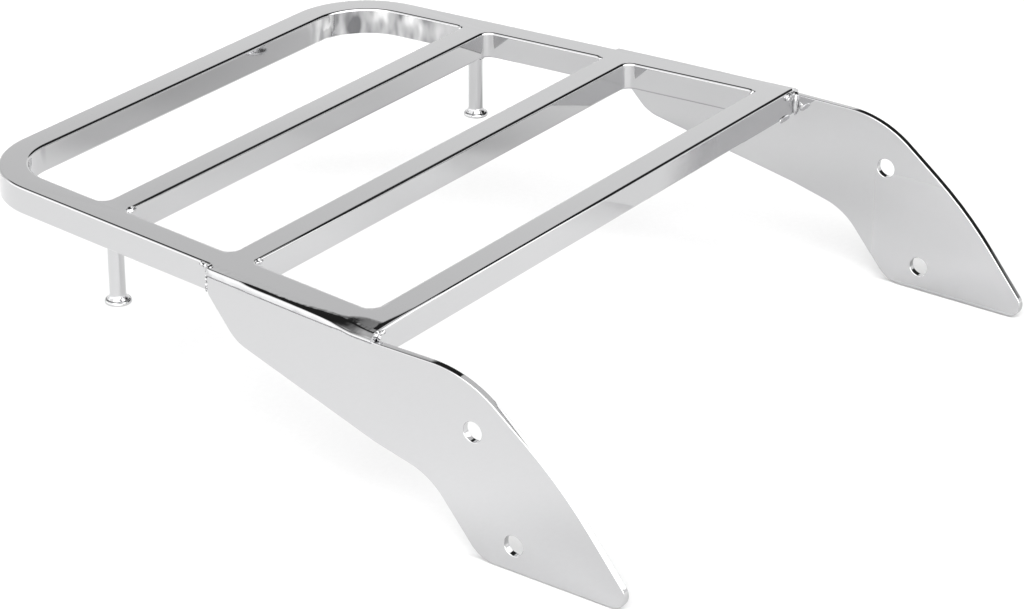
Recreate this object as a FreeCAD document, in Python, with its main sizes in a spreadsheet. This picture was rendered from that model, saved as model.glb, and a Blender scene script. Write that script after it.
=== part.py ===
# Motorcycle luggage rack: a hoop of square bar with three crossbars makes a flat deck,
# two plates welded to the arms carry it on bolts, and two short posts steady its tail.
# The frame: X to the right, Y to the rear, Z up. The origin is the middle of the deck's top,
# at the centre of the middle crossbar. Millimetres and degrees.
import FreeCAD, Part
import Sketcher
import math
import os

os.makedirs("parts", exist_ok=True)
doc = FreeCAD.newDocument("luggage_rack")

driving_sizes = {
    # square bar of the hoop and the crossbars
    "bar_side": 12.7,
    "bar_edge": 0.6,
    # hoop, seen from above: its outer half width is taken at the middle crossbar
    "hoop_half_width": 146.6,
    "hoop_reach": 157.2,
    "bend_inside": 27.6,
    "arm_flare": 5.3,
    # distances between the centres of the crossbars
    "rear_pitch": 75.7,
    "front_pitch": 79.1,
    # mounting plates, seen from the side; depths are below the deck's top
    "plate_thickness": 3.175,
    "plate_top": 3.2,
    "plate_tail": 5.8,
    "tail_depth": 11.5,
    "tail_slope_run": 15.5,
    "tail_slope_depth": 28.2,
    "belly_forward": 113.2,
    "belly_depth": 53.3,
    "heel_forward": 137.8,
    "plate_depth": 82.4,
    "tip_forward": 212.6,
    "shoulder_forward": 131.2,
    "brow_rise": 6.5,
    "tail_corner": 2.0,
    "tail_heel_radius": 3.5,
    "tail_belly_radius": 18.0,
    "belly_radius": 30.0,
    "heel_radius": 15.0,
    "tip_radius": 6.0,
    "brow_radius": 180.0,
    "shoulder_radius": 51.0,
    "plate_bend": 12.0,
    # two bolt holes in each plate
    "bolt_hole": 8.7,
    "lower_hole_from_tip": 58.8,
    "lower_hole_from_foot": 11.4,
    "hole_step_back": 19.5,
    "hole_step_up": 43.7,
    # posts under the rear crossbar; the inset is from the arm's outer face to the post's middle
    "post_inset": 12.2,
    "post_diameter": 7.0,
    "post_length": 31.1,
    "foot_diameter": 11.7,
    "foot_thickness": 1.8,
    "foot_round": 1.2,
    "ankle_flare": 1.4,
    # weld beads: the leg is what a bead covers of each face that it joins
    "broad_leg": 5.2,
    "broad_hollow": 6.5,
    "narrow_leg": 3.2,
    "narrow_hollow": 5.0,
    "seam_cover": 2.3,
    "seam_slope": 1.0,
    "seam_toe": 2.8,
    "seam_setback": 2.4,
    "tail_bead_leg": 2.9,
    "tail_bead_height": 8.5,
    "front_bead_leg": 5.0,
    "front_bead_hollow": 6.5,
    "post_bead_leg": 1.9,
}

sheet = doc.addObject("Spreadsheet::Sheet", "Sizes")
for row, (alias, value) in enumerate(driving_sizes.items(), start=1):
    sheet.set(f"A{row}", alias)
    sheet.set(f"B{row}", str(value))
    sheet.setAlias(f"B{row}", alias)
doc.recompute()


def measure(expression):
    """The value of an expression on the sheet, in millimetres or degrees."""
    return float(sheet.evalExpression(str(expression)))


def arm_outside(along):
    """X of the right arm's outer face at a place along Y."""
    return f"(Sizes.hoop_half_width - ({along}) * tan(Sizes.arm_flare))"


def arm_inside(along):
    """X of the right arm's inner face at a place along Y."""
    return f"({arm_outside(along)} - Sizes.bar_side / cos(Sizes.arm_flare))"


half_bar = "Sizes.bar_side / 2"
deck_front = "(-Sizes.front_pitch - Sizes.bar_side / 2)"
plate_turn = f"({deck_front} - Sizes.plate_bend * tan(Sizes.arm_flare / 2))"
crossbar_centres = {"rear": "Sizes.rear_pitch", "middle": "0", "front": "-Sizes.front_pitch"}
sides = {"left": -1, "right": 1}


def origin_plane(body, role):
    return next(item for item in body.Origin.OriginFeatures if item.Role == role)


def new_sketch(body, name, role):
    sketch = body.newObject("Sketcher::SketchObject", name)
    sketch.AttachmentSupport = [(origin_plane(body, role), "")]
    sketch.MapMode = "FlatFace"
    return sketch


def bind(sketch, constraint, expression):
    """Adds a constraint whose value follows an expression."""
    index = sketch.addConstraint(constraint)
    sketch.setExpression(f"Constraints[{index}]", str(expression))


def place_point(sketch, edge, end, across, up):
    """Ties one end of an edge to its distances from the sketch's origin."""
    for kind, axis, expression in (("DistanceX", -2, across), ("DistanceY", -1, up)):
        if abs(measure(expression)) < 1e-9:
            sketch.addConstraint(Sketcher.Constraint("PointOnObject", edge, end, axis))
        else:
            bind(sketch, Sketcher.Constraint(kind, -1, 1, edge, end, measure(expression)), expression)


def draw_outline(sketch, corners):
    """A closed outline of straight edges; a corner is (across, up) or (across, up, radius)."""
    first = sketch.GeometryCount
    points = [FreeCAD.Vector(measure(corner[0]), measure(corner[1]), 0) for corner in corners]
    count = len(points)
    for index in range(count):
        sketch.addGeometry(Part.LineSegment(points[index], points[(index + 1) % count]), False)
    for index in range(count):
        following = first + (index + 1) % count
        sketch.addConstraint(Sketcher.Constraint("Coincident", first + index, 2, following, 1))
    for index, corner in enumerate(corners):
        place_point(sketch, first + index, 1, corner[0], corner[1])
    for index, corner in enumerate(corners):
        if len(corner) > 2:
            radius = measure(corner[2])
            sketch.fillet(first + index, 1, radius, True, True)
            arc = sketch.GeometryCount - 2
            bind(sketch, Sketcher.Constraint("Radius", arc, radius), corner[2])


def draw_hollow_bead(sketch, corner, end_a, end_b, hollow):
    """A weld bead's section: two legs from a corner, closed by a hollow face."""
    root, toe_a, toe_b = (
        FreeCAD.Vector(measure(point[0]), measure(point[1]), 0) for point in (corner, end_a, end_b)
    )
    radius = measure(hollow)
    middle = (toe_a + toe_b) * 0.5
    outward = (middle - root).normalize()
    square = (toe_b - toe_a).cross(FreeCAD.Vector(0, 0, 1)).normalize()
    if square.dot(outward) < 0:
        square = square * -1
    centre = middle + square * math.sqrt(radius ** 2 - toe_a.distanceToPoint(middle) ** 2)
    turn_a, turn_b = (math.atan2(toe.y - centre.y, toe.x - centre.x) for toe in (toe_a, toe_b))
    from_a = (turn_b - turn_a) % (2 * math.pi) < math.pi
    sketch.addGeometry(Part.LineSegment(root, toe_a), False)
    sketch.addGeometry(Part.LineSegment(root, toe_b), False)
    circle = Part.Circle(centre, FreeCAD.Vector(0, 0, 1), radius)
    begin, finish = (turn_a, turn_b) if from_a else (turn_b, turn_a)
    arc = sketch.addGeometry(Part.ArcOfCircle(circle, begin, finish), False)
    sketch.addConstraint(Sketcher.Constraint("Coincident", 0, 1, 1, 1))
    sketch.addConstraint(Sketcher.Constraint("Coincident", 0, 2, arc, 1 if from_a else 2))
    sketch.addConstraint(Sketcher.Constraint("Coincident", 1, 2, arc, 2 if from_a else 1))
    place_point(sketch, 0, 1, *corner)
    place_point(sketch, 0, 2, *end_a)
    place_point(sketch, 1, 2, *end_b)
    bind(sketch, Sketcher.Constraint("Radius", arc, radius), hollow)


def pad(body, sketch, length, downward=False):
    feature = body.newObject("PartDesign::Pad", f"{body.Name}_pad")
    feature.Profile = sketch
    feature.setExpression("Length", length)
    feature.Reversed = downward
    doc.recompute()
    return feature


def round_edges(body, base, radius, wanted):
    """Rounds the edges of the last feature that a test picks."""
    names = [f"Edge{index}" for index, edge in enumerate(base.Shape.Edges, start=1) if wanted(edge)]
    feature = body.newObject("PartDesign::Fillet", f"{body.Name}_fillet")
    feature.Base = (base, names)
    feature.setExpression("Radius", radius)
    feature.UseAllEdges = False
    doc.recompute()
    return feature


def lies_flat(edge):
    return edge.BoundBox.ZLength < 1e-6


def build_hoop():
    """The U-shaped bar: a closed tail, two bends and two arms that spread to the front."""
    body = doc.addObject("PartDesign::Body", "hoop_bar")
    rear = "Sizes.hoop_reach"
    rear_inside = "(Sizes.hoop_reach - Sizes.bar_side)"
    outer_bend = "Sizes.bend_inside + Sizes.bar_side"
    sketch = new_sketch(body, "hoop_outline", "XY_Plane")
    draw_outline(sketch, [
        (arm_outside(deck_front), deck_front),
        (arm_outside(rear), rear, outer_bend),
        (f"-{arm_outside(rear)}", rear, outer_bend),
        (f"-{arm_outside(deck_front)}", deck_front),
        (f"-{arm_inside(deck_front)}", deck_front),
        (f"-{arm_inside(rear_inside)}", rear_inside, "Sizes.bend_inside"),
        (arm_inside(rear_inside), rear_inside, "Sizes.bend_inside"),
        (arm_inside(deck_front), deck_front),
    ])
    bar = pad(body, sketch, "Sizes.bar_side", downward=True)
    end_face = measure(deck_front)
    round_edges(body, bar, "Sizes.bar_edge",
                lambda edge: lies_flat(edge) and edge.BoundBox.YMax > end_face + 1e-6)
    return body


def build_crossbar(name, centre):
    """A straight bar cut to the arms' angle, so that its ends lie on their inner faces."""
    body = doc.addObject("PartDesign::Body", f"{name}_crossbar")
    behind = f"({centre} + {half_bar})"
    ahead = f"({centre} - {half_bar})"
    sketch = new_sketch(body, f"{name}_crossbar_outline", "XY_Plane")
    draw_outline(sketch, [
        (arm_inside(ahead), ahead),
        (arm_inside(behind), behind),
        (f"-{arm_inside(behind)}", behind),
        (f"-{arm_inside(ahead)}", ahead),
    ])
    bar = pad(body, sketch, "Sizes.bar_side", downward=True)
    round_edges(body, bar, "Sizes.bar_edge", lambda edge: edge.BoundBox.XLength > edge.Length * 0.9)
    return body


def plate_profile():
    """The plate's outline from the side, as (along Y, up Z, corner radius)."""
    tail = "Sizes.plate_tail"
    run = "(Sizes.tip_forward - Sizes.shoulder_forward)"
    drop = "(Sizes.plate_depth - Sizes.plate_top)"
    chord = f"sqrt({run}^2 + {drop}^2)"
    brow = f"(-Sizes.shoulder_forward - {run} / 2 - Sizes.brow_rise * {drop} / {chord})"
    brow_up = f"(-Sizes.plate_top - {drop} / 2 + Sizes.brow_rise * {run} / {chord})"
    return [
        (tail, "-Sizes.plate_top", "Sizes.tail_corner"),
        (tail, "-Sizes.tail_depth", "Sizes.tail_heel_radius"),
        (f"({tail} - Sizes.tail_slope_run)", "-Sizes.tail_slope_depth", "Sizes.tail_belly_radius"),
        ("-Sizes.belly_forward", "-Sizes.belly_depth", "Sizes.belly_radius"),
        ("-Sizes.heel_forward", "-Sizes.plate_depth", "Sizes.heel_radius"),
        ("-Sizes.tip_forward", "-Sizes.plate_depth", "Sizes.tip_radius"),
        (brow, brow_up, "Sizes.brow_radius"),
        ("-Sizes.shoulder_forward", "-Sizes.plate_top", "Sizes.shoulder_radius"),
    ]


def build_plate(side, sign):
    """A flat plate: its tail lies along the arm, and past the deck it is bent to run straight ahead."""
    body = doc.addObject("PartDesign::Body", f"{side}_mounting_plate")
    thick = "Sizes.plate_thickness"
    tail = "Sizes.plate_tail"
    nose = "(-Sizes.tip_forward)"
    straight = arm_outside(plate_turn)
    outer_turn = f"({plate_turn} + {thick} * tan(Sizes.arm_flare / 2))"
    band = [
        (arm_outside(tail), tail),
        (straight, plate_turn, "Sizes.plate_bend"),
        (straight, nose),
        (f"({straight} + {thick})", nose),
        (f"({straight} + {thick})", outer_turn, f"(Sizes.plate_bend + {thick})"),
        (f"({arm_outside(tail)} + {thick} / cos(Sizes.arm_flare))", tail),
    ]
    sketch = new_sketch(body, f"{side}_plate_band", "XY_Plane")
    draw_outline(sketch, [(f"({sign}) * {corner[0]}", *corner[1:]) for corner in band])
    pad(body, sketch, "Sizes.plate_depth", downward=True)

    around = 10
    trim = new_sketch(body, f"{side}_plate_trim", "YZ_Plane")
    draw_outline(trim, [
        (f"({tail} + {around})", around),
        (f"({nose} - {around})", around),
        (f"({nose} - {around})", f"(-Sizes.plate_depth - {around})"),
        (f"({tail} + {around})", f"(-Sizes.plate_depth - {around})"),
    ])
    draw_outline(trim, plate_profile())
    cut_through(body, trim, "trim")
    holes = new_sketch(body, f"{side}_bolt_holes", "YZ_Plane")
    lower_along = "(Sizes.lower_hole_from_tip - Sizes.tip_forward)"
    lower_up = "(Sizes.lower_hole_from_foot - Sizes.plate_depth)"
    for step in (0, 1):
        along = f"({lower_along} + {step} * Sizes.hole_step_back)"
        up = f"({lower_up} + {step} * Sizes.hole_step_up)"
        centre = FreeCAD.Vector(measure(along), measure(up), 0)
        radius = measure("Sizes.bolt_hole / 2")
        circle = sketch_circle(holes, centre, radius)
        place_point(holes, circle, 3, along, up)
        bind(holes, Sketcher.Constraint("Radius", circle, radius), "Sizes.bolt_hole / 2")
    cut_through(body, holes, "holes")
    return body


def sketch_circle(sketch, centre, radius):
    return sketch.addGeometry(Part.Circle(centre, FreeCAD.Vector(0, 0, 1), radius), False)


def cut_through(body, sketch, name):
    """Cuts a sketch right through the body, to both sides of its plane."""
    before = body.Shape.Volume
    feature = body.newObject("PartDesign::Pocket", f"{body.Name}_{name}")
    feature.Profile = sketch
    feature.Type = "ThroughAll"
    feature.Midplane = True
    doc.recompute()
    if not body.Shape.Volume < before:
        raise RuntimeError(f"{body.Name}: {name} cut nothing")
    return feature


def build_post(side, sign):
    """A turned post with a thin rounded foot, standing down from the joint of arm and crossbar."""
    body = doc.addObject("PartDesign::Body", f"{side}_post")
    rod = "Sizes.post_diameter / 2"
    foot = "Sizes.foot_diameter / 2"
    ankle = "(Sizes.foot_thickness - Sizes.post_length)"
    sketch = new_sketch(body, f"{side}_post_profile", "XZ_Plane")
    draw_outline(sketch, [
        ("0", "0"),
        (rod, "0"),
        (rod, f"({ankle} + Sizes.ankle_flare)"),
        (f"({rod} + Sizes.ankle_flare)", ankle),
        (foot, ankle, "Sizes.foot_round"),
        (foot, "-Sizes.post_length"),
        ("0", "-Sizes.post_length"),
    ])
    revolve(body, sketch)
    put_under_deck(body, sign)
    return body


def revolve(body, sketch):
    feature = body.newObject("PartDesign::Revolution", f"{body.Name}_turned")
    feature.Profile = sketch
    feature.ReferenceAxis = (sketch, ["V_Axis"])
    feature.Angle = 360
    doc.recompute()


def put_under_deck(body, sign):
    """Stands a turned piece under the rear crossbar's end."""
    along = crossbar_centres["rear"]
    body.setExpression(".Placement.Base.x", f"({sign}) * ({arm_outside(along)} - Sizes.post_inset)")
    body.setExpression(".Placement.Base.y", along)
    body.setExpression(".Placement.Base.z", "-Sizes.bar_side")


def build_post_weld(side, sign):
    """The ring of weld round the post's top."""
    body = doc.addObject("PartDesign::Body", f"{side}_post_weld")
    rod = "Sizes.post_diameter / 2"
    sketch = new_sketch(body, f"{side}_post_weld_section", "XZ_Plane")
    draw_outline(sketch, [
        (rod, "0"),
        (f"({rod} + Sizes.post_bead_leg)", "0"),
        (rod, "-Sizes.post_bead_leg"),
    ])
    revolve(body, sketch)
    put_under_deck(body, sign)
    return body


def build_corner_bead(name, sign, face, direction, leg, hollow):
    """A bead in the corner of an arm and a crossbar's face, full bar height."""
    body = doc.addObject("PartDesign::Body", name)
    leg_end = f"({face} + ({direction}) * {leg})"
    sketch = new_sketch(body, f"{name}_section", "XY_Plane")
    draw_hollow_bead(
        sketch,
        (f"({sign}) * {arm_inside(face)}", face),
        (f"({sign}) * ({arm_inside(face)} - {leg})", face),
        (f"({sign}) * {arm_inside(leg_end)}", leg_end),
        hollow,
    )
    pad(body, sketch, "Sizes.bar_side", downward=True)
    return body


def less(name, blank, neighbour):
    """A piece trimmed to lie against its neighbour."""
    piece = doc.addObject("Part::Cut", name)
    piece.Base = blank
    piece.Tool = neighbour
    return piece


def build_seam_weld(side, sign, hoop):
    """The seam along the plate's top edge, ground to slope from the deck down to the plate."""
    blank = doc.addObject("PartDesign::Body", f"{side}_seam_blank")
    sketch = new_sketch(blank, f"{side}_seam_section", "XZ_Plane")
    section = [
        ("-Sizes.bar_edge", "0"),
        ("Sizes.seam_cover", "-Sizes.seam_slope"),
        ("Sizes.seam_toe", "-Sizes.plate_top"),
        ("-Sizes.bar_edge", "-Sizes.plate_top"),
    ]
    draw_outline(sketch, [(f"({sign}) * ({corner[0]})", corner[1]) for corner in section])
    rear_end = "(Sizes.plate_tail - Sizes.seam_setback)"
    pad(blank, sketch, f"({rear_end} - {deck_front}) / cos(Sizes.arm_flare)")
    blank.setExpression(".Placement.Base.x", f"({sign}) * {arm_outside(rear_end)}")
    blank.setExpression(".Placement.Base.y", rear_end)
    blank.setExpression(".Placement.Rotation.Angle", f"({sign}) * Sizes.arm_flare * 1 deg")
    return less(f"{side}_seam_weld", blank, hoop)


def build_tail_weld(side, sign):
    """The upright bead at the plate's tail end, in the corner with the arm's outer face."""
    body = doc.addObject("PartDesign::Body", f"{side}_tail_weld")
    tail = "Sizes.plate_tail"
    leg_end = f"({tail} + Sizes.tail_bead_leg)"
    sketch = new_sketch(body, f"{side}_tail_weld_section", "XY_Plane")
    draw_outline(sketch, [
        (f"({sign}) * {arm_outside(tail)}", tail),
        (f"({sign}) * ({arm_outside(tail)} + Sizes.tail_bead_leg)", tail),
        (f"({sign}) * {arm_outside(leg_end)}", leg_end),
    ])
    pad(body, sketch, "Sizes.tail_bead_height", downward=True)
    middle = "(Sizes.plate_top + Sizes.tail_depth) / 2"
    body.setExpression(".Placement.Base.z", f"Sizes.tail_bead_height / 2 - {middle}")
    return body


def build_front_weld(side, sign, plate):
    """The upright bead between the deck's front face and the plate's inner face."""
    blank = doc.addObject("PartDesign::Body", f"{side}_front_weld_blank")
    straight = arm_outside(plate_turn)
    leg = "Sizes.front_bead_leg"
    sketch = new_sketch(blank, f"{side}_front_weld_section", "XY_Plane")
    draw_hollow_bead(
        sketch,
        (f"({sign}) * {straight}", deck_front),
        (f"({sign}) * ({straight} - {leg})", deck_front),
        (f"({sign}) * {straight}", f"({deck_front} - {leg})"),
        "Sizes.front_bead_hollow",
    )
    pad(blank, sketch, "Sizes.bar_side - Sizes.plate_top", downward=True)
    blank.setExpression(".Placement.Base.z", "-Sizes.plate_top")
    return less(f"{side}_front_weld", blank, plate)


hoop = build_hoop()
nodes = {"hoop": hoop}
for name, centre in crossbar_centres.items():
    nodes[f"{name}_crossbar"] = build_crossbar(name, centre)
for side, sign in sides.items():
    plate = build_plate(side, sign)
    nodes[f"{side}_mounting_plate"] = plate
    nodes[f"{side}_post"] = build_post(side, sign)
    nodes[f"{side}_post_weld"] = build_post_weld(side, sign)
    broad = ("Sizes.broad_leg", "Sizes.broad_hollow")
    narrow = ("Sizes.narrow_leg", "Sizes.narrow_hollow")
    behind_size, ahead_size = (broad, narrow) if side == "left" else (narrow, broad)
    for name, centre in crossbar_centres.items():
        bead = f"{side}_{name}_bead_behind"
        nodes[bead] = build_corner_bead(bead, sign, f"({centre} + {half_bar})", 1, *behind_size)
    for name in ("rear", "middle"):
        bead = f"{side}_{name}_bead_ahead"
        ahead = f"({crossbar_centres[name]} - {half_bar})"
        nodes[bead] = build_corner_bead(bead, sign, ahead, -1, *ahead_size)
    nodes[f"{side}_seam_weld"] = build_seam_weld(side, sign, hoop)
    nodes[f"{side}_tail_weld"] = build_tail_weld(side, sign)
    nodes[f"{side}_front_weld"] = build_front_weld(side, sign, plate)
for name, item in nodes.items():
    item.Label = name

doc.recompute()
for item in doc.Objects:
    if {"Invalid", "Error"} & set(item.State):
        raise RuntimeError(f"{item.Name} failed: {item.State}")
for name, item in nodes.items():
    if item.Shape.isNull() or not item.Shape.isValid():
        raise RuntimeError(f"{name} has no valid shape")
    item.Shape.exportStep(f"parts/{name}.step")
    box = item.Shape.BoundBox
    spans = f"{box.XLength:.1f} x {box.YLength:.1f} x {box.ZLength:.1f} mm"
    print(f"{name}: {item.Shape.Volume:.0f} mm3, {spans}")
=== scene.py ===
import math
import bpy
import bmesh
from mathutils import Matrix, Vector, noise


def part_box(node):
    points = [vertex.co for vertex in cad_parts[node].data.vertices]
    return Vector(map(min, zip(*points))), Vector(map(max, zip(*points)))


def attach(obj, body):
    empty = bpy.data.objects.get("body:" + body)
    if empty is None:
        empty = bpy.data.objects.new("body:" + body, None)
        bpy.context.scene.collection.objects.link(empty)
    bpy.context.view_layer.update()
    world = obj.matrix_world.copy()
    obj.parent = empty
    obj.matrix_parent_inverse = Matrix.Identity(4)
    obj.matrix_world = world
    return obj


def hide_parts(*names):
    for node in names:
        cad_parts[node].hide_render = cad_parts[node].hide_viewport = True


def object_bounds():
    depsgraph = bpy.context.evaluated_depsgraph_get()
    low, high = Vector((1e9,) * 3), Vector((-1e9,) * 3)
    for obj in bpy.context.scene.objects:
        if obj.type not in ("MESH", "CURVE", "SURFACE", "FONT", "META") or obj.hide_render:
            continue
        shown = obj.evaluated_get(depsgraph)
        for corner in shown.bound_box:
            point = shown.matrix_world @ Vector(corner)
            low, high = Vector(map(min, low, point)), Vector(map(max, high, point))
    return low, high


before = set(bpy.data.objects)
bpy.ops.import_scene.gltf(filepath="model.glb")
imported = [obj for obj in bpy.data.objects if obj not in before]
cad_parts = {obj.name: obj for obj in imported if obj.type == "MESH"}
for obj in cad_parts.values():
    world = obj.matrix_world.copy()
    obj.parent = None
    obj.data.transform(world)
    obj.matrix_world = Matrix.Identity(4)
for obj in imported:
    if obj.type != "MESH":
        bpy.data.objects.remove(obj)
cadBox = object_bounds()
scene = bpy.context.scene
mm = 0.001
sides = {"left": -1, "right": 1}
print("frame loaded:", len(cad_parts), "nodes")


def clamp(value, low=0, high=1):
    return min(max(value, low), high)


def hexColour(code):
    channels = [int(code[start:start + 2], 16) / 255 for start in (1, 3, 5)]
    linear = [c / 12.92 if c <= 0.04045 else ((c + 0.055) / 1.055) ** 2.4 for c in channels]
    return (*linear, 1.0)


def addNode(tree, kind, settings=None, links=None):
    # a key is an input's name or number, the stops of a ramp, or one of the node's own settings
    node = tree.nodes.new(kind)
    for key, value in (settings or {}).items():
        if isinstance(key, int) or key in node.inputs.keys():
            node.inputs[key].default_value = value
        elif key == "stops":
            elements = node.color_ramp.elements
            while len(elements) < len(value):
                elements.new(0.5)
            for element, (place, colour) in zip(elements, value):
                element.position = place
                element.color = colour
        else:
            setattr(node, key, value)
    for key, source in (links or {}).items():
        tree.links.new(source, node.inputs[key])
    return node


def newMaterial(name, cleared=False):
    material = bpy.data.materials.new(name)
    material.use_nodes = True
    if cleared:
        material.node_tree.nodes.clear()
    return material


# what all the chrome has in common: its waves, and how its haze follows them
surfaceNoise = {
    "detail": 1.0,
    "roughness": 0.4,
    "range": (0.3, 0.7),
    "hazeSpread": 0.2,
}

# Bright decorative chrome over polished steel. Polishing by hand before the plating leaves long
# soft ripples, which bend the reflections a little along each bar.
polishedChrome = {
    "colour": "#C4C4C5",
    "roughness": 0.045,
    "rippleLength": 26.0,  # mm
    "rippleHeight": 0.012,  # mm
}

# On the inside of the right rear bend the polishing wheel could not run along the bar, so the
# chrome there keeps upright waves. The duller and brighter streaks between them are painted
# reflections in the base colour, so it looks mottled.
bendWavesAndPaintedStreaks = {
    "paintedStreakColours": ((0.36, "#7E7E80"), (0.47, "#BABABB"), (0.53, "#CACACB"), (0.65, "#F8F8F8")),
    "length": 7.0,  # mm
    "stretch": 0.4,
    "detail": 1.5,
    "height": 1.1,  # mm
    "startX": (82.0, 102.0),  # mm, where the waves set in
    "startY": (86.0, 108.0),
    "lookingUp": (0.1, 0.4),  # they fade out on faces that look up or down
}

# The same chrome over ground welds, where the steel below keeps short uneven waves.
weldChrome = {
    "colour": "#C3C3C4",
    "roughness": 0.07,
    "rippleLength": 2.6,
    "rippleHeight": 0.03,
}

# Weld drops left as they froze. Small dark specks scattered by noise are painted shade for the dark
# pits between the drops.
dropFinish = {
    "colour": "#C3C3C4",
    "roughness": 0.09,
    "rippleLength": 1.4,
    "rippleHeight": 0.05,
    "paintedShadeColour": "#2C2C2E",
    "paintedShadeLength": 1.1,
    "paintedShadeShare": (0.56, 0.64),
}


def chromeMaterial(name, finish):
    material = newMaterial(name)
    tree = material.node_tree
    shader = tree.nodes["Principled BSDF"]
    shader.inputs["Base Color"].default_value = hexColour(finish["colour"])
    shader.inputs["Metallic"].default_value = 1.0
    place = addNode(tree, "ShaderNodeTexCoord").outputs["Object"]
    ripple = addNode(tree, "ShaderNodeTexNoise", {
        "Scale": 1 / (finish["rippleLength"] * mm), "Detail": surfaceNoise["detail"],
        "Roughness": surfaceNoise["roughness"]}, {"Vector": place})
    (low, high), spread = surfaceNoise["range"], surfaceNoise["hazeSpread"]
    haze = addNode(tree, "ShaderNodeMapRange", {
        "From Min": low, "From Max": high, "To Min": finish["roughness"] * (1 - spread),
        "To Max": finish["roughness"] * (1 + spread)}, {"Value": ripple.outputs["Fac"]})
    relief = addNode(tree, "ShaderNodeBump", {
        "Strength": 1.0, "Distance": finish["rippleHeight"] * mm},
        {"Height": ripple.outputs["Fac"]})
    tree.links.new(haze.outputs["Result"], shader.inputs["Roughness"])
    tree.links.new(relief.outputs["Normal"], shader.inputs["Normal"])
    # painted shade: dark specks scattered by noise into the drops' base colour
    if "paintedShadeColour" in finish:
        low, high = finish["paintedShadeShare"]
        spots = addNode(tree, "ShaderNodeTexNoise", {
            "Scale": 1 / (finish["paintedShadeLength"] * mm), "Detail": surfaceNoise["detail"]},
            {"Vector": place})
        share = addNode(tree, "ShaderNodeMapRange", {"From Min": low, "From Max": high},
                        {"Value": spots.outputs["Fac"]})
        tone = addNode(tree, "ShaderNodeMix", {
            "data_type": "RGBA",
            6: hexColour(finish["colour"]), 7: hexColour(finish["paintedShadeColour"])},
            {0: share.outputs["Result"]})
        tree.links.new(tone.outputs[2], shader.inputs["Base Color"])
    return material


def addBendWavesAndPaintedStreaks(material, waves):
    tree = material.node_tree
    shader = tree.nodes["Principled BSDF"]
    ripples = shader.inputs["Normal"].links[0].from_socket
    place = addNode(tree, "ShaderNodeTexCoord")
    spot = addNode(tree, "ShaderNodeSeparateXYZ", links={"Vector": place.outputs["Object"]})
    facing = addNode(tree, "ShaderNodeSeparateXYZ", links={"Vector": place.outputs["Normal"]})
    fades = [addNode(tree, "ShaderNodeMapRange", {
        "From Min": limits[0] * unit, "From Max": limits[1] * unit,
        "To Min": ends[0], "To Max": ends[1], "interpolation_type": "SMOOTHSTEP"},
        {"Value": source}).outputs["Result"] for source, limits, unit, ends in (
            (spot.outputs["X"], waves["startX"], mm, (0.0, 1.0)),
            (spot.outputs["Y"], waves["startY"], mm, (0.0, 1.0)),
            (facing.outputs["Z"], waves["lookingUp"], 1, (1.0, 0.0)))]
    share = fades[0]
    for fade in fades[1:]:
        share = addNode(tree, "ShaderNodeMath", {"operation": "MULTIPLY"},
                        {0: share, 1: fade}).outputs[0]
    upright = addNode(tree, "ShaderNodeMapping", {"Scale": (1, 1, waves["stretch"])},
                      {"Vector": place.outputs["Object"]})
    streaks = addNode(tree, "ShaderNodeTexNoise", {
        "Scale": 1 / (waves["length"] * mm), "Detail": waves["detail"]},
        {"Vector": upright.outputs["Vector"]})
    # painted reflection: the streak colours, duller and brighter than the chrome, are mixed into
    # its base colour
    stops = [(level, hexColour(code)) for level, code in waves["paintedStreakColours"]]
    paintedStreakTone = addNode(tree, "ShaderNodeValToRGB", {"stops": stops},
                         {"Fac": streaks.outputs["Fac"]})
    tone = addNode(tree, "ShaderNodeMix", {
        "data_type": "RGBA", 6: shader.inputs["Base Color"].default_value},
        {0: share, 7: paintedStreakTone.outputs["Color"]})
    relief = addNode(tree, "ShaderNodeBump", {"Distance": waves["height"] * mm}, {
        "Strength": share, "Height": streaks.outputs["Fac"], "Normal": ripples})
    tree.links.new(tone.outputs[2], shader.inputs["Base Color"])
    tree.links.new(relief.outputs["Normal"], shader.inputs["Normal"])


barChrome = chromeMaterial("polishedChromeOnBar", polishedChrome)
addBendWavesAndPaintedStreaks(barChrome, bendWavesAndPaintedStreaks)
plateChrome = chromeMaterial("polishedChromeOnPlate", polishedChrome)
turnedChrome = chromeMaterial("polishedChromeOnTurnedPost", polishedChrome)
seamChrome = chromeMaterial("chromeOnGroundWeld", weldChrome)
dropChrome = chromeMaterial("chromeOnWeldDropsPaintedShade", dropFinish)
print("materials ready")


meshing = {
    "mergeDistance": 0.002,  # mm
    "cutSnap": 0.01,
    "sharpAngle": math.radians(50),
    "flatWeight": 60,
    # a rounded corner's facets turn by this much, and more where they would get shorter than this
    "facetAngle": math.radians(3),
    "facetLength": 0.3,
}


def addPiece(name, bm, material, replaced):
    bmesh.ops.remove_doubles(bm, verts=bm.verts, dist=meshing["mergeDistance"])
    bmesh.ops.recalc_face_normals(bm, faces=bm.faces)
    bmesh.ops.scale(bm, vec=(mm, mm, mm), verts=bm.verts)
    for face in bm.faces:
        face.smooth = True
    for edge in bm.edges:
        edge.smooth = edge.calc_face_angle(0) < meshing["sharpAngle"]
    mesh = bpy.data.meshes.new(name)
    bm.to_mesh(mesh)
    bm.free()
    mesh.materials.append(material)
    piece = bpy.data.objects.new(name, mesh)
    scene.collection.objects.link(piece)
    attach(piece, "root")
    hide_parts(*replaced)
    return piece


def keepFlatFaces(piece):
    weighted = piece.modifiers.new("flat faces stay flat", "WEIGHTED_NORMAL")
    weighted.mode = "FACE_AREA"
    weighted.weight = meshing["flatWeight"]
    weighted.keep_sharp = True


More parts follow.
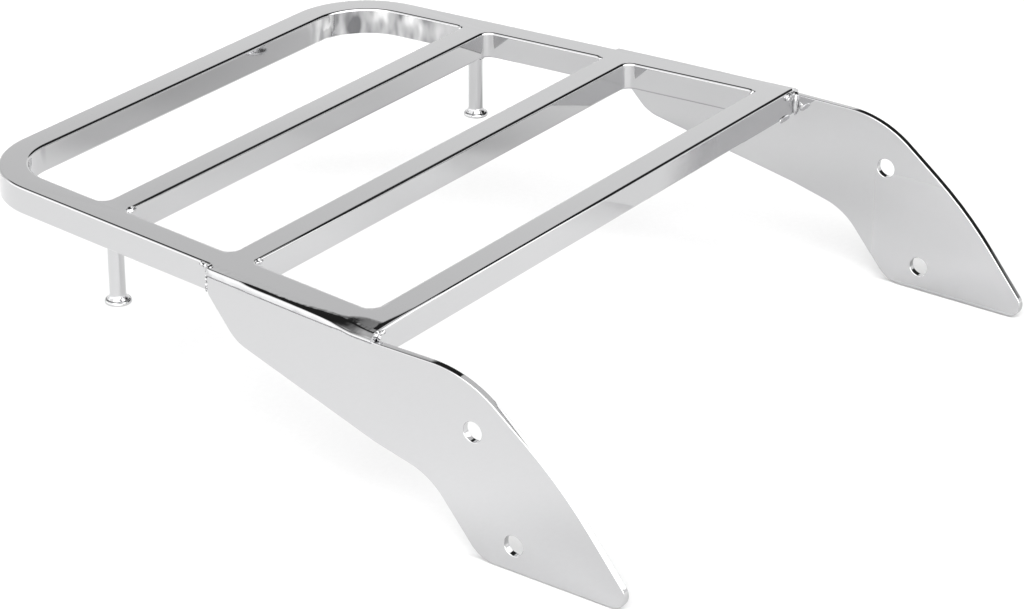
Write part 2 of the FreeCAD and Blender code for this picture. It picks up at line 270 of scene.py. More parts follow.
def drawLoop(bm, corners):
    # a closed line through corners (x, y, radius), each rounded by its own radius
    ends = []  # first and last vertex at each corner
    for index, (x, y, radius) in enumerate(corners):
        here = Vector((x, y, 0))
        back = (Vector((*corners[index - 1][:2], 0)) - here).normalized()
        ahead = (Vector((*corners[(index + 1) % len(corners)][:2], 0)) - here).normalized()
        half = back.angle(ahead) / 2
        centre = here + (back + ahead).normalized() * radius / math.sin(half)
        turn = (math.pi - 2 * half) * (-1 if back.cross(ahead).z > 0 else 1)
        start = bm.verts.new(here + back * radius / math.tan(half))
        steps = math.ceil(abs(turn) / max(meshing["facetAngle"], meshing["facetLength"] / radius))
        arc = bmesh.ops.spin(bm, geom=[start], cent=centre, axis=(0, 0, 1), angle=turn,
                             steps=max(3, steps), use_duplicate=False)
        last = [item for item in arc["geom_last"] if isinstance(item, bmesh.types.BMVert)][0]
        ends.append((start, last))
    for index in range(len(ends)):
        bm.edges.new((ends[index][1], ends[(index + 1) % len(ends)][0]))


def makeSlab(bm, thickness, edgeRadius, edgeSteps):
    # the closed loops are filled and thickened downwards, and all their edges rounded
    bmesh.ops.triangle_fill(bm, edges=bm.edges, use_beauty=True, use_dissolve=False,
                            normal=(0, 0, 1))
    bmesh.ops.translate(bm, verts=bm.verts, vec=(0, 0, -edgeRadius))
    grown = bmesh.ops.extrude_face_region(bm, geom=list(bm.faces))
    lower = [item for item in grown["geom"] if isinstance(item, bmesh.types.BMVert)]
    bmesh.ops.translate(bm, verts=lower, vec=(0, 0, 2 * edgeRadius - thickness))
    bmesh.ops.recalc_face_normals(bm, faces=bm.faces)
    caps = [face for face in bm.faces if abs(face.normal.z) > 0.9]
    quarter = [math.pi / 2 * step / edgeSteps for step in range(edgeSteps + 1)]
    for begin, end in zip(quarter, quarter[1:]):
        bmesh.ops.inset_region(
            bm, faces=caps, use_boundary=True, use_even_offset=True,
            thickness=edgeRadius * (math.cos(begin) - math.cos(end)),
            depth=edgeRadius * (math.sin(end) - math.sin(begin)))


# sizes of the bar work in mm, read from the frame
hoopLow, hoopHigh = (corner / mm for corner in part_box("hoop"))
rearLow, rearHigh = (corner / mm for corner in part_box("rear_crossbar"))
midLow, midHigh = (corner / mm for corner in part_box("middle_crossbar"))
frontLow, frontHigh = (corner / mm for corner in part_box("front_crossbar"))
barSide = hoopHigh.z - hoopLow.z
deckFront = hoopLow.y
flareRise = (frontHigh.x - rearHigh.x) / (rearLow.y - frontLow.y)  # an arm's spread for each mm
flare = math.atan(flareRise)


def armOutside(along):
    return hoopHigh.x - flareRise * (along - deckFront)


def armInside(along):
    return armOutside(along) - barSide / math.cos(flare)


deckShape = {
    "bendInside": 27.6,
    "edgeRadius": 1.15,
    "edgeSteps": 6,
    "broadFillet": 5.0,  # ground weld fillets on the sides that were filled well
    "narrowFillet": 3.4,
    "frontCorner": 1.25,
    "farGain": 0.42,  # edges that face right and rear are less worn, so their faces stand out more
}


groundSlope = {
    # the deck's top was ground down beside each seam weld, most of all in the front corner; out is
    # the distance outside the arm's edge, and each row is: along, out where a faint slope starts,
    # out where the steep slope starts, out at the seam's rim, depth of the rim below the deck
    "leftRows": (
        (8.0, 3.0, 3.2, 3.6, 0.05), (3.0, 3.0, 3.2, 3.6, 0.15), (-13.0, 3.0, 3.2, 3.6, 0.35),
        (-19.0, 2.3, 2.6, 3.85, 0.55), (-25.0, 2.0, 2.6, 3.95, 0.6), (-36.0, 2.0, 2.75, 3.95, 0.6),
        (-47.0, 1.2, 1.9, 3.95, 0.6), (-52.6, 0.0, 0.75, 3.95, 0.65),
        (-58.0, -1.2, -0.4, 3.95, 0.75), (-63.5, -1.8, -1.0, 3.95, 1.15),
        (-66.0, -2.2, -0.8, 3.95, 1.5), (-69.0, -2.9, -0.3, 3.95, 1.95),
        (-71.6, -5.1, -0.2, 3.95, 2.2), (-74.2, -6.6, -0.1, 3.95, 2.35),
        (-77.5, -7.3, 0.5, 3.95, 2.3), (-80.7, -7.6, 0.8, 3.95, 2.2),
        (-86.0, -7.6, 0.8, 3.95, 2.1)),
    "rightRows": (
        (8.0, 1.0, 1.2, 2.4, 0.7), (-25.0, 0.6, 0.9, 2.4, 0.9), (-60.0, -0.5, -0.2, 2.5, 1.3),
        (-75.0, -3.0, 0.0, 2.6, 1.6), (-86.0, -4.0, 0.0, 2.6, 1.7)),
    "start": 8.0,  # along; nothing is ground behind it
    "cutPast": 1.0,  # the cuts run on this much further to the rear
    "faintSlope": 0.036,
    "steepSlope": 0.5,
    "fade": (-5.0, -1.5),  # heights between which the bar's side takes up the slope
    # cuts that give the slope its vertices: first rows ahead of the deck's front edge and the step
    # of the others, then columns in from the arm's outside
    "firstRows": (1.25, 1.7, 2.3, 3.0),
    "rowStep": 2.0,
    "columns": (0.4, 0.8, 1.2, 1.8, 2.6, 3.4, 4.4, 5.4, 6.6, 7.8, 9.4, 11.4, 14, 18, 23, 29),
    # the front crossbar's top edge is ground too near its left end: full width as far in as the
    # first reach, and nothing past the second
    "frontSlope": 0.4,
    "frontWidth": 3.0,
    "frontReach": (8.0, 34.0),
}


def groundRow(side, along):
    rows = groundSlope[f"{side}Rows"]
    if along >= rows[0][0]:
        return rows[0][1:]
    for behind, ahead in zip(rows, rows[1:]):
        if along > ahead[0]:
            share = (behind[0] - along) / (behind[0] - ahead[0])
            return [first + (last - first) * share for first, last in zip(behind[1:], ahead[1:])]
    return rows[-1][1:]


def groundDrop(side, out, along):
    # how far the ground surface lies below the deck
    if along > groundSlope["start"]:
        return 0.0
    faint, steep, rim, depth = groundRow(side, along)
    power = clamp(groundSlope["steepSlope"] * (rim - steep) / depth, 1, 2)
    share = clamp((out - steep) / (rim - steep))
    return groundSlope["faintSlope"] * max(min(out, steep) - faint, 0) + depth * share ** power


def frontDrop(side, out, along):
    begin, end = groundSlope["frontReach"]
    width = groundSlope["frontWidth"] * clamp((end + out) / (end - begin))
    if side == "right" or width == 0:
        return 0.0
    inside = max(width - (along - deckFront), 0)
    return groundSlope["frontSlope"] * inside * inside / (2 * width)


def grindCorners(bm):
    reach = groundSlope["start"] + groundSlope["cutPast"]
    low, high = groundSlope["fade"]
    rows = [deckFront + step for step in groundSlope["firstRows"]]
    while rows[-1] + groundSlope["rowStep"] < groundSlope["start"]:
        rows.append(rows[-1] + groundSlope["rowStep"])
    for side, sign in sides.items():
        outward = Vector((sign * math.cos(flare), math.sin(flare), 0))
        edge = Vector((sign * armOutside(0), 0, 0))
        cuts = [((0, row, 0), (0, 1, 0)) for row in rows]
        cuts += [(edge - outward * inset, outward) for inset in groundSlope["columns"]]
        for place, normal in cuts:
            faces = [face for face in bm.faces if face.calc_center_median().x * sign > 0
                     and any(vert.co.y < reach for vert in face.verts)]
            parts = {item: None for face in faces for item in (*face.verts, *face.edges)}
            bmesh.ops.bisect_plane(bm, geom=[*parts, *faces], plane_co=place, plane_no=normal,
                                   dist=meshing["cutSnap"])
        for vert in bm.verts:
            if vert.co.x * sign > 0:
                out, along = (vert.co - edge).dot(outward), vert.co.y
                share = clamp((vert.co.z - low) / (high - low))
                vert.co.z -= share * (groundDrop(side, out, along) + frontDrop(side, out, along))
    bmesh.ops.triangulate(bm, faces=[face for face in bm.faces if len(face.verts) > 4])


def buildDeck():
    bm = bmesh.new()
    bend, broad, narrow = (deckShape[key] for key in ("bendInside", "broadFillet", "narrowFillet"))
    corner, gain = deckShape["frontCorner"], deckShape["farGain"]
    tail = hoopHigh.y + gain
    drawLoop(bm, [(-armOutside(deckFront), deckFront, corner),
                  (armOutside(deckFront), deckFront, corner),
                  (armOutside(tail), tail, bend + barSide),
                  (-armOutside(tail), tail, bend + barSide)])
    bays = (  # front edge, rear edge, then fillets: front left, front right, rear right, rear left
        (rearHigh.y, hoopHigh.y - barSide, (broad, narrow, bend, bend)),
        (midHigh.y, rearLow.y, (broad, narrow, broad, narrow)),
        (frontHigh.y, midLow.y, (broad, narrow, broad, narrow)),
    )
    for low, high, fillets in bays:
        front = low + gain
        spots = ((gain - armInside(front), front), (armInside(front), front),
                 (armInside(high), high), (gain - armInside(high), high))
        drawLoop(bm, [(*spot, radius) for spot, radius in zip(spots, fillets)])
    makeSlab(bm, barSide, deckShape["edgeRadius"], deckShape["edgeSteps"])
    grindCorners(bm)
    keepFlatFaces(addPiece("deckFrame", bm, barChrome,
                           ["hoop", "rear_crossbar", "middle_crossbar", "front_crossbar"]))


buildDeck()
print("deck frame built")


plateShape = {
    "thickness": 3.175,
    "edgeRadius": 0.45,
    "edgeSteps": 4,
    # corners seen from the left side: along, up, radius
    "outline": (
        (5.8, -3.2, 2.0), (5.8, -11.5, 3.5), (-9.7, -28.2, 18.0), (-113.2, -53.3, 30.0),
        (-137.8, -82.4, 15.0), (-212.6, -82.4, 6.0), (-176.43, -38.14, 180.0),
        (-131.2, -3.2, 51.0)),
    "holes": ((-153.8, -71.0), (-134.3, -27.3)),
    "holeDiameter": 8.7,
    "holeFacets": 64,
    "bendAt": -86.0,  # along, where the plate turns to run straight ahead
    "bendHalf": 0.7,  # half the bend's length
}


def buildPlate(side, sign):
    bm = bmesh.new()
    drawLoop(bm, plateShape["outline"])
    for along, up in plateShape["holes"]:
        bmesh.ops.create_circle(bm, cap_ends=False, segments=plateShape["holeFacets"],
                                radius=plateShape["holeDiameter"] / 2,
                                matrix=Matrix.Translation((along, up, 0)))
    makeSlab(bm, plateShape["thickness"], plateShape["edgeRadius"], plateShape["edgeSteps"])
    turn, half = plateShape["bendAt"], plateShape["bendHalf"]
    for cut in (turn - half, turn, turn + half):
        bmesh.ops.bisect_plane(bm, geom=[*bm.verts, *bm.edges, *bm.faces], plane_co=(cut, 0, 0),
                               plane_no=(1, 0, 0))
    for vert in bm.verts:
        # stood up against the arm and turned past the bend
        along, up, depth = vert.co
        past = turn - along
        ease = clamp(past + half, 0, 2 * half)
        spread = flareRise * (ease * ease / (4 * half) + max(past - half, 0))
        vert.co = (sign * (armOutside(along) - spread - depth), along, up)
    keepFlatFaces(addPiece(f"{side}Plate", bm, plateChrome,
                           [f"{side}_mounting_plate"]))


for side, sign in sides.items():
    buildPlate(side, sign)
print("side plates built")


postShape = {
    "spacing": 254.756,
    "along": (rearLow.y + rearHigh.y) / 2,
    "rod": 3.5,  # radii
    "ankle": 4.9,
    "foot": 5.85,
    "top": 0.3 - barSide,  # heights
    "ankleTop": -40.6,
    "footTop": -42.0,
    "bottom": -43.8,
    "facets": 48,
    # rounded rings: height, radius, size of the rounding, segments
    "rounded": (("footTop", "foot", 1.1, 6), ("bottom", "foot", 0.35, 4),
                ("footTop", "ankle", 0.4, 3), ("ankleTop", "rod", 1.0, 4)),
}


def buildPost(side, sign):
    bm = bmesh.new()
    rod, ankle, foot, top, ankleTop, footTop, bottom = (postShape[key] for key in (
        "rod", "ankle", "foot", "top", "ankleTop", "footTop", "bottom"))
    profile = ((0, top), (rod, top), (rod, ankleTop), (ankle, footTop), (foot, footTop),
               (foot, bottom), (0, bottom))
    verts = [bm.verts.new((radius, 0, up)) for radius, up in profile]
    edges = [bm.edges.new(pair) for pair in zip(verts, verts[1:])]
    bmesh.ops.spin(bm, geom=[*verts, *edges], cent=(0, 0, 0), axis=(0, 0, 1), angle=math.tau,
                   steps=postShape["facets"], use_merge=True, use_duplicate=False)
    bmesh.ops.remove_doubles(bm, verts=bm.verts, dist=meshing["mergeDistance"])
    for up, radius, offset, segments in postShape["rounded"]:
        ring = [edge for edge in bm.edges if all(
            abs(vert.co.z - postShape[up]) < 0.01
            and abs(vert.co.xy.length - postShape[radius]) < 0.02 for vert in edge.verts)]
        bmesh.ops.bevel(bm, geom=ring, affect="EDGES", offset=offset, segments=segments,
                        profile=0.5, material=-1)
    bmesh.ops.translate(bm, verts=bm.verts,
                        vec=(sign * postShape["spacing"] / 2, postShape["along"], 0))
    keepFlatFaces(addPiece(f"{side}Post", bm, turnedChrome, [f"{side}_post"]))


for side, sign in sides.items():
    buildPost(side, sign)
print("posts built")


seamShape = {
    "inner": -1.6,  # out at the seam's inner side, sunk flush into the deck
    "shares": (0, 0.08, 0.16, 0.24, 0.32, 0.38, 0.44, 0.5, 0.56, 0.62, 0.67, 0.72, 0.77, 0.82,
               0.86, 0.9, 0.94, 0.97, 1.0),  # points across its ground top
    "lift": 0.012,  # keeps the top just above the deck's own surface
    "rimRounding": 0.3,
    "rimShares": (0.25, 0.5, 0.75, 1.0),
    "faceAngle": 72,  # degrees
    "lipDepth": 2.55,  # below the deck's top, or lower to leave lipRoom below the rim
    "lipRoom": 0.12,
    # steps from the lip: the narrow crevice below it and the start of the weld's foot
    "crevice": ((0, 0), (0.02, 0.08), (-0.8, 0.3), (-0.08, 0.72), (-0.1, 0.88)),
    "foot": ((3.4, 1.05), (2.9, 1.12)),  # out, and down from the lip
    "underside": ((1.0, 3.9), (-1.6, 3.7)),  # hidden in the plate and the arm
    "rearEnd": 7.0,
    "endRounding": 3.4,
    "endCap": 0.05,  # how far the rounding's tip is cut off, so that its end is a small face
    "endFrom": 1.0,  # the end is rounded outside this distance
    "step": 0.8,
    # unevenness: height, scales along and across, and out where it starts
    "mottling": (0.02, 0.5, 0.6, 0.6),
    "waviness": (0.1, 0.16, 0.3, 3.0),
}


def seamSection(side, along):
    # points across the seam, from its inner side over the ground top and down its outer face:
    # out from the arm's edge, and down from the deck's top
    rim = groundRow(side, along)[2]
    inner, rounding = seamShape["inner"], seamShape["rimRounding"]
    face = math.radians(seamShape["faceAngle"])
    points = []
    for share in seamShape["shares"]:
        out = inner + (rim - rounding - inner) * share
        points.append(Vector((out, groundDrop(side, out, along) - seamShape["lift"])))
    edge = points[-1]
    corner = Vector((rim, groundDrop(side, rim, along)))
    below = corner + Vector((math.cos(face), math.sin(face))) * rounding
    for share in seamShape["rimShares"]:
        points.append((1 - share) ** 2 * edge + 2 * share * (1 - share) * corner
                      + share * share * below)
    lipDepth = max(seamShape["lipDepth"], below.y + seamShape["lipRoom"])
    lip = Vector((below.x + (lipDepth - below.y) / math.tan(face), lipDepth))
    points.append((below + lip) / 2)
    points += [lip + Vector(step) for step in seamShape["crevice"]]
    points += [Vector((out, lipDepth + down)) for out, down in seamShape["foot"]]
    return points + [Vector(spot) for spot in seamShape["underside"]]


def placeSeamPoint(sign, run, along, out, down):
    height, runScale, outScale, start = seamShape["mottling"]
    bump = noise.noise(Vector((run * runScale, out * outScale, 5 + 3 * sign)))
    down += height * bump * clamp(out - start)
    height, runScale, downScale, start = seamShape["waviness"]
    if out > start:
        out += height * noise.noise(Vector((run * runScale, down * downScale, 7 * sign)))
    ending = min((run + seamShape["endCap"]) / seamShape["endRounding"], 1)
    start = seamShape["endFrom"]
    if out > start:
        out = start + (out - start) * math.sqrt(1 - (1 - ending) ** 2)
    return sign * (armOutside(along) + out / math.cos(flare)), along, -down


def buildSeam(side, sign):
    bm = bmesh.new()
    # until they are set in place, the section's points are told apart by their x; the ring's bow
    # lets its two end faces be filled
    count = len(seamSection(side, 0))
    ring = [bm.verts.new((index, 0, -0.01 * index * index)) for index in range(count)]
    edges = [bm.edges.new((ring[index - 1], ring[index])) for index in range(count)]
    bmesh.ops.contextual_create(bm, geom=edges)
    length = seamShape["rearEnd"] - deckFront
    steps = math.ceil(length / seamShape["step"])
    for step in range(steps):
        made = bmesh.ops.extrude_edge_only(bm, edges=edges)["geom"]
        fresh = [item for item in made if isinstance(item, bmesh.types.BMVert)]
        edges = [item for item in made if isinstance(item, bmesh.types.BMEdge)
                 and all(vert in fresh for vert in item.verts)]
        bmesh.ops.translate(bm, verts=fresh, vec=(0, -length / steps, 0))
    bmesh.ops.contextual_create(bm, geom=edges)
    sections = {}
    for vert in bm.verts:
        index, run = round(vert.co.x), -vert.co.y
        along = seamShape["rearEnd"] - run
        key = round(run, 3)
        if key not in sections:
            sections[key] = seamSection(side, along)
        vert.co = placeSeamPoint(sign, run, along, *sections[key][index])
    addPiece(f"{side}SeamWeld", bm, seamChrome, [f"{side}_seam_weld"])


for side, sign in sides.items():
    buildSeam(side, sign)
print("seam welds built")


weldDrops = {
    # the chains' drops: out from the arm's face, along, up, radii
    # tail: behind the plate's rear end, from the top down
    "tailRight": (
        (0.8, 9.6, -1.8, (1.0, 1.1, 1.1)), (1.0, 7.4, -2.0, (1.1, 1.3, 1.2)),
        (1.9, 6.6, -4.0, (1.0, 0.9, 1.3)), (1.8, 6.5, -7.0, (1.0, 0.8, 3.4)),
        (1.6, 6.5, -9.6, (1.0, 0.8, 1.2))),
    "tailLeft": (
        (0.8, 10.2, -0.4, (1.1, 1.1, 1.1)), (1.1, 7.6, -0.6, (1.3, 1.3, 1.3)),
        (1.3, 5.0, -0.5, (1.3, 1.3, 1.3)), (1.9, 6.6, -2.9, (1.0, 1.0, 1.0)),
        (2.5, 6.5, -4.2, (0.7, 0.7, 0.8)), (2.4, 6.6, -5.4, (0.8, 0.8, 0.9)),
        (2.6, 6.5, -6.7, (0.6, 0.7, 0.8)), (2.5, 6.6, -8.0, (0.8, 0.8, 0.9)),
        (2.4, 6.5, -9.3, (0.7, 0.7, 0.8)), (2.6, 6.4, -10.4, (0.6, 0.6, 0.8))),
    # front: in the corner of the deck's front and the plate; the first stands upright in it
    "frontLeft": (
        (-0.9, -86.2, -7.2, (1.1, 0.9, 5.0)), (0.3, -85.6, -1.1, (1.1, 1.1, 1.1)),
        (-1.1, -85.8, -1.0, (1.2, 1.2, 1.2)), (-2.6, -86.0, -1.4, (1.0, 1.0, 1.0)),
        (-4.2, -86.0, -1.5, (0.9, 0.9, 0.9)), (-1.0, -86.5, -2.6, (0.9, 0.9, 0.9))),
    "frontRight": (
        (-0.9, -86.2, -7.6, (1.3, 1.1, 4.9)), (-6.3, -86.0, -2.6, (2.3, 1.1, 2.0)),
        (-0.2, -88.6, -8.2, (0.4, 1.3, 1.6)), (-9.0, -85.7, -12.3, (4.4, 0.4, 1.3)),
        (-3.0, -86.0, -3.2, (1.9, 0.8, 1.9))),
    # joints: crossbar, side, ahead of or behind it, inward from the corner, off the bar's face,
    # up, radii, and how deep the drop's top sank while it cooled
    "joints": (
        ("rear", -1, -1, 3.9, 0.1, -0.8, (2.8, 1.8, 1.3), 1.6),
        ("middle", -1, -1, 3.4, 0.2, -0.8, (2.1, 1.6, 1.2), 1.5),
        ("rear", 1, 1, 0.9, 0.6, -0.9, (1.6, 1.2, 1.2), 0),
        ("middle", 1, 1, 0.9, 0.6, -0.9, (1.6, 1.3, 1.3), 0),
        ("front", 1, 1, 1.0, 0.7, -1.0, (1.8, 1.3, 1.5), 0),
        ("front", 1, 1, 0.3, 0.4, -3.4, (0.9, 0.9, 1.6), 0)),
    # the ring of drops round a post
    "collarCount": 7,
    "collarRing": 3.6,
    "collarDown": 0.2,
    "collarRadii": (1.9, 1.9, 1.5),
    # how far the drops are out of round, the scale of their lumps, how wide a sunken top is, and
    # the numbers that give each drop lumps of its own
    "roughness": {"chain": 0.25, "joint": 0.2, "collar": 0.18},
    "lumpScale": 1.7,
    "sunkWidth": 0.5,
    "seeds": {"tail": 1, "front": 11, "collar": 21, "joint": 40},
}


def addBlob(bm, centre, radii, seed, roughness, subdivisions=4, sunk=0):
    # one drop of weld metal: a ball pressed out of round, sunk into what it joins
    ball = bmesh.ops.create_icosphere(bm, subdivisions=subdivisions, radius=1.0)["verts"]
    shift = Vector((seed * 3.1, seed * 1.7, seed))
    for vert in ball:
        swell = 1 + roughness * noise.noise(vert.co * weldDrops["lumpScale"] + shift)
        if vert.co.z > 0:
            inside = max(1 - vert.co.xy.length_squared / weldDrops["sunkWidth"], 0)
            vert.co.z -= sunk * inside ** 2
        vert.co = Vector(centre) + Vector([c * r * swell for c, r in zip(vert.co, radii)])


def buildJointWelds():
    bm = bmesh.new()
    faces = {"rear": (rearLow.y, rearHigh.y), "middle": (midLow.y, midHigh.y),
             "front": (frontLow.y, frontHigh.y)}
    for index, joint in enumerate(weldDrops["joints"]):
        bar, sign, toward, inward, off, up, radii, sunk = joint
        along = faces[bar][0 if toward < 0 else 1] + toward * off
        addBlob(bm, (sign * (armInside(along) - inward), along, up), radii,
                weldDrops["seeds"]["joint"] + index, weldDrops["roughness"]["joint"], sunk=sunk)
    beads = [f"{side}_{bar}_bead_{place}" for side in sides for bar in ("rear", "middle", "front")
             for place in ("behind", "ahead") if (bar, place) != ("front", "ahead")]
    addPiece("jointWelds", bm, dropChrome, beads)


def buildChain(side, sign, end):
    bm = bmesh.new()
    for index, (out, along, up, radii) in enumerate(weldDrops[f"{end}{side.title()}"]):
        addBlob(bm, (sign * (armOutside(along) + out), along, up), radii,
                weldDrops["seeds"][end] + index, weldDrops["roughness"]["chain"])
    material = dropChrome if side == "left" else seamChrome  # the right side's drops get no painted shade specks
    addPiece(f"{side}{end.title()}Weld", bm, material, [f"{side}_{end}_weld"])


def buildCollar(side, sign):
    bm = bmesh.new()
    across, ring = sign * postShape["spacing"] / 2, weldDrops["collarRing"]
    for index in range(weldDrops["collarCount"]):
        angle = math.tau * index / weldDrops["collarCount"]
        centre = (across + ring * math.cos(angle), postShape["along"] + ring * math.sin(angle),
                  -barSide - weldDrops["collarDown"])
        addBlob(bm, centre, weldDrops["collarRadii"], weldDrops["seeds"]["collar"] + index,
                weldDrops["roughness"]["collar"], subdivisions=3)
    addPiece(f"{side}PostWeld", bm, dropChrome, [f"{side}_post_weld"])


buildJointWelds()
for side, sign in sides.items():
    buildChain(side, sign, "tail")
    buildChain(side, sign, "front")
    buildCollar(side, sign)
print("small welds built")


studio = {
    # matt paper below the part
    "floorSize": 3.6,
    "floorDrop": 0.4 * mm,
    "floorColours": ("#DFDFDF", "#E3E3E3"),
    "floorGrain": 400.0,  # scale of its faint mottling
    "floorRoughness": 0.9,
    "floorSpecular": 0.1,
    "strength": 4.0,
    # brightness of the tent to the right, by height plus a share of the distance to the rear
    "rightWall": ((0.0, 1.07), (0.56, 1.07), (0.61, 1.0), (0.635, 0.91), (0.66, 0.84),
                  (0.72, 0.8), (1.0, 0.8)),
    "rightLean": 0.4,
    # a dark cloth hangs across the right side, and draws the black lines along the edges: its
    # darkness by height plus a share of the distance to the rear, and its lower and upper ends
    "darkCloth": ((0.0, 1.0), (0.293, 1.0), (0.306, 0.55), (0.328, 0.35), (0.348, 0.03),
                  (1.0, 0.03)),
    "darkLean": -0.30,
    "clothEdges": ((0.0, 1.0), (0.27, 1.0), (0.33, 0.0), (0.90, 0.0), (0.96, 0.9), (1.0, 0.9)),
    "leftWall": ((0.0, 1.6), (0.08, 1.95), (0.40, 1.95), (0.50, 1.4), (1.0, 1.4)),
    "across": (-0.35, 0.10),  # where the left wall gives way to the right one
    # a broad soft box in front on the left lights the floor: direction, dot products at its rim,
    # brightness
    "softBox": (-0.45, -0.601, 0.661),
    "softRim": (0.55, 0.70),
    "softLevel": 3.25,
    # bright cards on the right, only seen in the chrome: x, reach along y and z, brightness
    "cards": ((130.0, (-470.0, -190.0), (22.0, 232.0), 2.0),
              (130.0, (-330.0, -50.0), (236.0, 340.0), 0.85)),
    # a pale card just inside the right plate, only seen in the front crossbar, and where along y
    # it fades away
    "fillCard": (152.5, (-205.0, -128.0), (-82.0, -30.0), 1.12),
    "fillFade": (-158.0, -132.0),
    # soft shades on the floor, only seen in the chrome: middle, reach, depth, softness of the rim
    "shades": (((0.150, 0.020), (0.130, 0.060), 0.30, 0.35),
               ((0.225, -0.185), (0.120, 0.070), 0.26, 0.5),
               ((0.175, -0.080), (0.160, 0.130), 0.15, 0.5),
               ((-0.165, -0.175), (0.075, 0.090), 0.15, 0.7)),
    "shadeSize": 1.2,
    "shadeLift": 0.2 * mm,
}


def greyStops(stops, full=1):
    return [(place, (*[level / full] * 3, 1)) for place, level in stops]


def lightTent():
    world = bpy.data.worlds.new("lightTent")
    scene.world = world
    world.use_nodes = True
    tree = world.node_tree
    tree.nodes.clear()
    full = studio["strength"]
    way = addNode(tree, "ShaderNodeTexCoord").outputs["Generated"]
    parts = addNode(tree, "ShaderNodeSeparateXYZ", links={"Vector": way})
    across, along, up = (parts.outputs[axis] for axis in "XYZ")
    rightLean, darkLean = (
        addNode(tree, "ShaderNodeMath", {"operation": "MULTIPLY_ADD", 1: studio[lean]},
                {0: along, 2: up}).outputs[0] for lean in ("rightLean", "darkLean"))
    rightWall, darkCloth, clothEdges, leftWall = (
        addNode(tree, "ShaderNodeValToRGB", {"stops": greyStops(studio[name], top)},
                {"Fac": source}).outputs["Color"]
        for name, top, source in (("rightWall", full, rightLean), ("darkCloth", 1, darkLean),
                                  ("clothEdges", 1, up), ("leftWall", full, up)))
    cloth = addNode(tree, "ShaderNodeVectorMath", {"operation": "MAXIMUM"},
                    {0: darkCloth, 1: clothEdges})
    right = addNode(tree, "ShaderNodeVectorMath", {"operation": "MULTIPLY"},
                    {0: rightWall, 1: cloth.outputs["Vector"]})
    toBox = addNode(tree, "ShaderNodeVectorMath", {
        "operation": "DOT_PRODUCT", 1: studio["softBox"]}, {0: way})
    box = addNode(tree, "ShaderNodeRGB")
    box.outputs[0].default_value = (*[studio["softLevel"] / full] * 3, 1)
    light = leftWall
    for source, (low, high), other in (
            (across, studio["across"], right.outputs["Vector"]),
            (toBox.outputs["Value"], studio["softRim"], box.outputs[0])):
        share = addNode(tree, "ShaderNodeMapRange", {
            "From Min": low, "From Max": high, "interpolation_type": "SMOOTHSTEP"},
            {"Value": source})
        light = addNode(tree, "ShaderNodeMix", {"data_type": "VECTOR"}, {
            0: share.outputs["Result"], 4: light, 5: other}).outputs[1]
    glow = addNode(tree, "ShaderNodeBackground", {"Strength": full}, {"Color": light})
    addNode(tree, "ShaderNodeOutputWorld", links={"Surface": glow.outputs["Background"]})


def stageSheet(name, span, place, material):
    # a flat sheet: its span along x, y and z, one of which is nothing, and the place of its middle
    bm = bmesh.new()
    turn = Matrix.Rotation(math.pi / 2, 4, "Y") if span[0] == 0 else Matrix()
    bmesh.ops.create_grid(bm, x_segments=1, y_segments=1, size=0.5, matrix=turn)
    bmesh.ops.scale(bm, vec=[reach or 1 for reach in span], verts=bm.verts)
    bmesh.ops.translate(bm, vec=place, verts=bm.verts)
    mesh = bpy.data.meshes.new(name)
    bm.to_mesh(mesh)
    bm.free()
    mesh.materials.append(material)
    sheet = bpy.data.objects.new(name, mesh)
    scene.collection.objects.link(sheet)
    return sheet


def seenOnlyInChrome(sheet):
    sheet.visible_camera = False
    sheet.visible_diffuse = False
    sheet.visible_shadow = False


def hangCard(name, materialName, card):
    # an upright sheet with a glow that is still to be linked
    across, (front, rear), (low, high), level = card
    material = newMaterial(materialName, cleared=True)
    glow = addNode(material.node_tree, "ShaderNodeEmission", {"Strength": level})
    seenOnlyInChrome(stageSheet(
        name, (0, (rear - front) * mm, (high - low) * mm),
        (across * mm, (front + rear) / 2 * mm, (low + high) / 2 * mm), material))
    return material.node_tree, glow.outputs["Emission"]


def hangBrightCards():
    for index, card in enumerate(studio["cards"]):
        tree, glow = hangCard(f"brightCard{index}", f"litCard{index}", card)
        addNode(tree, "ShaderNodeOutputMaterial", links={"Surface": glow})


def hangFillCard():
    tree, glow = hangCard("fillCard", "paleFillCard", studio["fillCard"])
    begin, end = studio["fillFade"]
    place = addNode(tree, "ShaderNodeTexCoord")
    parts = addNode(tree, "ShaderNodeSeparateXYZ", links={"Vector": place.outputs["Object"]})
    fade = addNode(tree, "ShaderNodeMapRange", {
        "From Min": begin * mm, "From Max": end * mm, "To Min": 1.0, "To Max": 0.0,
        "interpolation_type": "SMOOTHSTEP"}, {"Value": parts.outputs["Y"]})
    side = addNode(tree, "ShaderNodeNewGeometry")  # it shows only from the left
    share = addNode(tree, "ShaderNodeMath", {"operation": "MULTIPLY"}, {
        0: fade.outputs["Result"], 1: side.outputs["Backfacing"]})
    clear = addNode(tree, "ShaderNodeBsdfTransparent")
    both = addNode(tree, "ShaderNodeMixShader", links={
        0: share.outputs[0], 1: clear.outputs["BSDF"], 2: glow})
    addNode(tree, "ShaderNodeOutputMaterial", links={"Surface": both.outputs["Shader"]})


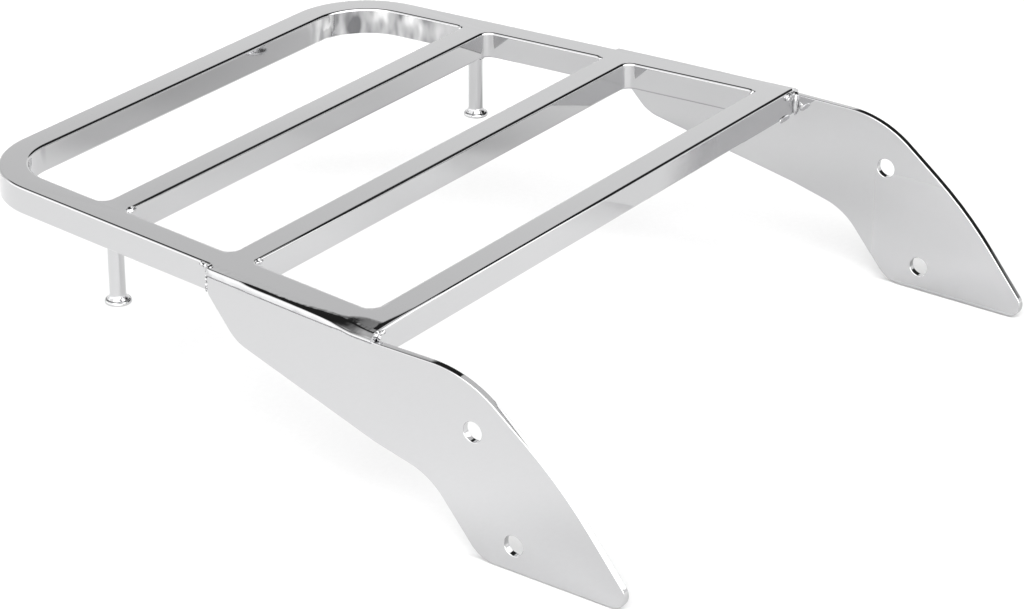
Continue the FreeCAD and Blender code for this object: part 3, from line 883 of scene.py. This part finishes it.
def layFloor():
    material = newMaterial("paleMattPaper")
    tree = material.node_tree
    shader = tree.nodes["Principled BSDF"]
    shader.inputs["Roughness"].default_value = studio["floorRoughness"]
    shader.inputs["Specular IOR Level"].default_value = studio["floorSpecular"]
    place = addNode(tree, "ShaderNodeTexCoord")
    grain = addNode(tree, "ShaderNodeTexNoise", {"Scale": studio["floorGrain"]},
                    {"Vector": place.outputs["Object"]})
    first, second = map(hexColour, studio["floorColours"])
    tone = addNode(tree, "ShaderNodeMix", {"data_type": "RGBA", 6: first, 7: second},
                   {0: grain.outputs["Fac"]})
    tree.links.new(tone.outputs[2], shader.inputs["Base Color"])
    size, level = studio["floorSize"], cadBox[0][2] - studio["floorDrop"]
    stageSheet("paleFloor", (size, size, 0), (0, 0, level), material)


def shadeFloor():
    material = newMaterial("softShadeOnFloor", cleared=True)
    tree = material.node_tree
    place = addNode(tree, "ShaderNodeTexCoord")
    tints = []
    for (middleX, middleY), (reachX, reachY), depth, softness in studio["shades"]:
        fit = addNode(tree, "ShaderNodeMapping", {
            "Location": (-middleX / reachX, -middleY / reachY, 0),
            "Scale": (1 / reachX, 1 / reachY, 0)}, {"Vector": place.outputs["Object"]})
        patch = addNode(tree, "ShaderNodeTexGradient", {"gradient_type": "SPHERICAL"},
                        {"Vector": fit.outputs["Vector"]})
        tint = addNode(tree, "ShaderNodeMapRange", {
            "From Min": 0.0, "From Max": softness, "To Min": 1.0, "To Max": 1 - depth,
            "interpolation_type": "SMOOTHSTEP"}, {"Value": patch.outputs["Fac"]})
        tints.append(tint.outputs["Result"])
    left = tints[0]  # how much light the patches so far leave
    for tint in tints[1:]:
        left = addNode(tree, "ShaderNodeMath", {"operation": "MULTIPLY"},
                       {0: left, 1: tint}).outputs[0]
    film = addNode(tree, "ShaderNodeBsdfTransparent", links={"Color": left})
    addNode(tree, "ShaderNodeOutputMaterial", links={"Surface": film.outputs["BSDF"]})
    size, level = studio["shadeSize"], cadBox[0][2] - studio["floorDrop"] + studio["shadeLift"]
    seenOnlyInChrome(stageSheet("shadeOnFloor", (size, size, 0), (0, 0, level), material))


lightTent()
hangBrightCards()
hangFillCard()
layFloor()
shadeFloor()
scene.view_settings.view_transform = "Standard"
print("studio ready")


viewpoint = {
    "place": (-1070.72, -815.70, 582.45),  # mm
    "azimuth": -54.0253,
    "elevation": 25.986,
    "roll": 0.1186,
    "lens": 118.41,
    "sensor": 36,
    "clip": (0.01, 100),  # m
}


def addCamera():
    azimuth, elevation, roll = (math.radians(viewpoint[key])
                                for key in ("azimuth", "elevation", "roll"))
    back = Vector((math.sin(azimuth) * math.cos(elevation),
                   -math.cos(azimuth) * math.cos(elevation), math.sin(elevation)))
    level = Vector((math.cos(azimuth), math.sin(azimuth), 0))
    up = back.cross(level)
    right = level * math.cos(roll) + up * math.sin(roll)
    up = up * math.cos(roll) - level * math.sin(roll)
    data = bpy.data.cameras.new("productCamera")
    data.lens = viewpoint["lens"]
    data.sensor_width = viewpoint["sensor"]
    data.clip_start, data.clip_end = viewpoint["clip"]
    camera = bpy.data.objects.new("productCamera", data)
    scene.collection.objects.link(camera)
    turn = Matrix((right, up, back)).transposed()
    camera.matrix_world = Matrix.Translation(Vector(viewpoint["place"]) * mm) @ turn.to_4x4()
    scene.camera = camera


addCamera()
print("camera placed")
